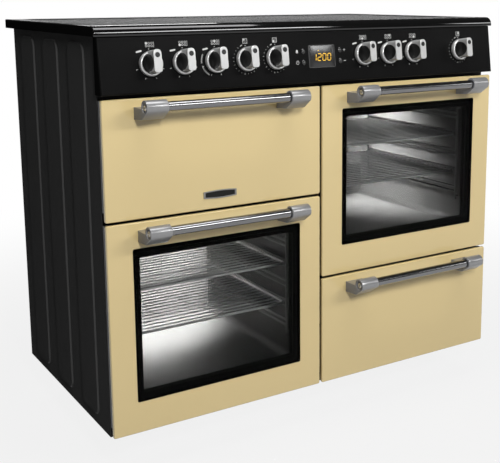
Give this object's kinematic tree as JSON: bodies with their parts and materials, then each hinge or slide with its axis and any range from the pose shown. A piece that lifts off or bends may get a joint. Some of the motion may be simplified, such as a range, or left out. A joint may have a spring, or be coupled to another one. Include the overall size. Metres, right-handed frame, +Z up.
{
  "type": "electric range cooker",
  "caption": "Freestanding electric range cooker with drop-down grill and oven doors, a storage drawer, a leaning control panel with knobs and timer, and a flat ceramic hob.",
  "frame": {"origin": "on the floor under the middle of the overall box", "axes": "+X to the right seen from the front, +Y to the back, doors face -Y, +Z up"},
  "size_m": [1, 0.653, 0.9],
  "materials": {
    "galvanised_steel": "zinc-coated sheet",
    "black_enamel": "gloss black enamel",
    "black_plastic": "moulded, matt",
    "hob_ceramic": "polished black ceramic glass",
    "display_glass": "dark tinted",
    "oven_enamel": "grey speckled oven enamel",
    "element_sheath": "heat-darkened steel sheath",
    "chrome_wire": "bright plated wire",
    "seal_rubber": "matt",
    "knob_silver": "silver plated moulding",
    "button_black": "gloss",
    "cream_enamel": "gloss cream enamel",
    "door_glass": "clear, black printed border",
    "polished_steel": "polished",
    "satin_alloy": "satin"
  },
  "bodies": {
    "cabinet": {"back_panel": "galvanised_steel", "base_tray": "galvanised_steel", "cabinet_screws": "galvanised_steel", "centre_partition": "galvanised_steel", "control_fascia": "black_enamel", "control_switches": "black_plastic", "door_hinges": "galvanised_steel", "door_seals": "seal_rubber", "drawer_runners": "galvanised_steel", "fan_cover": "oven_enamel", "fan_motor": "galvanised_steel", "front_frame": "black_enamel", "grill_cavity": "oven_enamel", "heating_elements": "element_sheath", "hob_frame": "black_enamel", "hob_glass": "hob_ceramic", "levelling_feet": "black_plastic", "main_oven_cavity": "oven_enamel", "oven_shelves": "chrome_wire", "radiant_heaters": "galvanised_steel", "right_oven_cavity": "oven_enamel", "shelf_racks": "chrome_wire", "side_panel_left": "black_enamel", "side_panel_right": "black_enamel", "terminal_box": "black_plastic", "timer_lens": "display_glass", "timer_module": "black_plastic"},
    "grill_door": {"grill_door_skin": "cream_enamel", "grill_door_liner": "black_enamel", "grill_door_handle_bar": "polished_steel", "grill_door_handle_mounts": "satin_alloy", "grill_door_plate": "polished_steel"},
    "main_door": {"main_door_skin": "cream_enamel", "main_door_liner": "black_enamel", "main_door_panes": "door_glass", "main_door_handle_bar": "polished_steel", "main_door_handle_mounts": "satin_alloy"},
    "right_door": {"right_door_skin": "cream_enamel", "right_door_liner": "black_enamel", "right_door_panes": "door_glass", "right_door_handle_bar": "polished_steel", "right_door_handle_mounts": "satin_alloy"},
    "drawer": {"drawer_front": "cream_enamel", "drawer_box": "black_enamel", "drawer_handle_bar": "polished_steel", "drawer_handle_mounts": "satin_alloy"},
    "fan": {"convection_fan": "galvanised_steel"},
    "hob_knob_1": {"hob_knob_1": "knob_silver"},
    "hob_knob_2": {"hob_knob_2": "knob_silver"},
    "hob_knob_3": {"hob_knob_3": "knob_silver"},
    "grill_knob": {"grill_knob": "knob_silver"},
    "main_oven_knob": {"main_oven_knob": "knob_silver"},
    "hob_knob_4": {"hob_knob_4": "knob_silver"},
    "hob_knob_5": {"hob_knob_5": "knob_silver"},
    "hob_knob_6": {"hob_knob_6": "knob_silver"},
    "right_oven_knob": {"right_oven_knob": "knob_silver"},
    "timer_button_1": {"timer_button_1": "button_black"},
    "timer_button_2": {"timer_button_2": "button_black"},
    "timer_button_3": {"timer_button_3": "button_black"},
    "timer_button_4": {"timer_button_4": "button_black"}
  },
  "joints": [
    {"name": "grill_door_hinge", "type": "hinge", "parent": "cabinet", "child": "grill_door", "pos_m": [-0.2485, -0.2525, 0.5375], "axis": [1, 0, 0], "range_deg": [0, 90], "stiffness_Nm_per_rad": 1.2, "springref_deg": -40.11},
    {"name": "main_door_hinge", "type": "hinge", "parent": "cabinet", "child": "main_door", "pos_m": [-0.2485, -0.2525, 0.098], "axis": [1, 0, 0], "range_deg": [0, 90], "stiffness_Nm_per_rad": 4, "springref_deg": -20.05},
    {"name": "right_door_hinge", "type": "hinge", "parent": "cabinet", "child": "right_door", "pos_m": [0.2485, -0.2525, 0.3475], "axis": [1, 0, 0], "range_deg": [0, 90], "stiffness_Nm_per_rad": 4, "springref_deg": -20.05},
    {"name": "drawer_slide", "type": "slide", "parent": "cabinet", "child": "drawer", "axis": [0, -1, 0], "range_m": [0, 0.28]},
    {"name": "fan_spin", "type": "hinge", "parent": "cabinet", "child": "fan", "pos_m": [0.2485, 0.1825, 0.556], "axis": [0, 1, 0], "continuous": true},
    {"name": "hob_knob_1_turn", "type": "hinge", "parent": "cabinet", "child": "hob_knob_1", "pos_m": [-0.392, -0.25986, 0.82598], "axis": [0, 0.9906, -0.1365], "range_deg": [0, 300]},
    {"name": "hob_knob_2_turn", "type": "hinge", "parent": "cabinet", "child": "hob_knob_2", "pos_m": [-0.322, -0.25986, 0.82598], "axis": [0, 0.9906, -0.1365], "range_deg": [0, 300]},
    {"name": "hob_knob_3_turn", "type": "hinge", "parent": "cabinet", "child": "hob_knob_3", "pos_m": [-0.252, -0.25986, 0.82598], "axis": [0, 0.9906, -0.1365], "range_deg": [0, 300]},
    {"name": "grill_knob_turn", "type": "hinge", "parent": "cabinet", "child": "grill_knob", "pos_m": [-0.182, -0.25986, 0.82598], "axis": [0, 0.9906, -0.1365], "range_deg": [0, 300]},
    {"name": "main_oven_knob_turn", "type": "hinge", "parent": "cabinet", "child": "main_oven_knob", "pos_m": [-0.112, -0.25986, 0.82598], "axis": [0, 0.9906, -0.1365], "range_deg": [0, 270]},
    {"name": "hob_knob_4_turn", "type": "hinge", "parent": "cabinet", "child": "hob_knob_4", "pos_m": [0.112, -0.25986, 0.82598], "axis": [0, 0.9906, -0.1365], "range_deg": [0, 300]},
    {"name": "hob_knob_5_turn", "type": "hinge", "parent": "cabinet", "child": "hob_knob_5", "pos_m": [0.182, -0.25986, 0.82598], "axis": [0, 0.9906, -0.1365], "range_deg": [0, 300]},
    {"name": "hob_knob_6_turn", "type": "hinge", "parent": "cabinet", "child": "hob_knob_6", "pos_m": [0.252, -0.25986, 0.82598], "axis": [0, 0.9906, -0.1365], "range_deg": [0, 300]},
    {"name": "right_oven_knob_turn", "type": "hinge", "parent": "cabinet", "child": "right_oven_knob", "pos_m": [0.392, -0.25986, 0.82598], "axis": [0, 0.9906, -0.1365], "range_deg": [0, 270]},
    {"name": "timer_button_1_press", "type": "slide", "parent": "cabinet", "child": "timer_button_1", "axis": [0, 0.9906, -0.1365], "range_m": [0, 0.0015], "stiffness_N_per_m": 300},
    {"name": "timer_button_2_press", "type": "slide", "parent": "cabinet", "child": "timer_button_2", "axis": [0, 0.9906, -0.1365], "range_m": [0, 0.0015], "stiffness_N_per_m": 300},
    {"name": "timer_button_3_press", "type": "slide", "parent": "cabinet", "child": "timer_button_3", "axis": [0, 0.9906, -0.1365], "range_m": [0, 0.0015], "stiffness_N_per_m": 300},
    {"name": "timer_button_4_press", "type": "slide", "parent": "cabinet", "child": "timer_button_4", "axis": [0, 0.9906, -0.1365], "range_m": [0, 0.0015], "stiffness_N_per_m": 300}
  ]
}
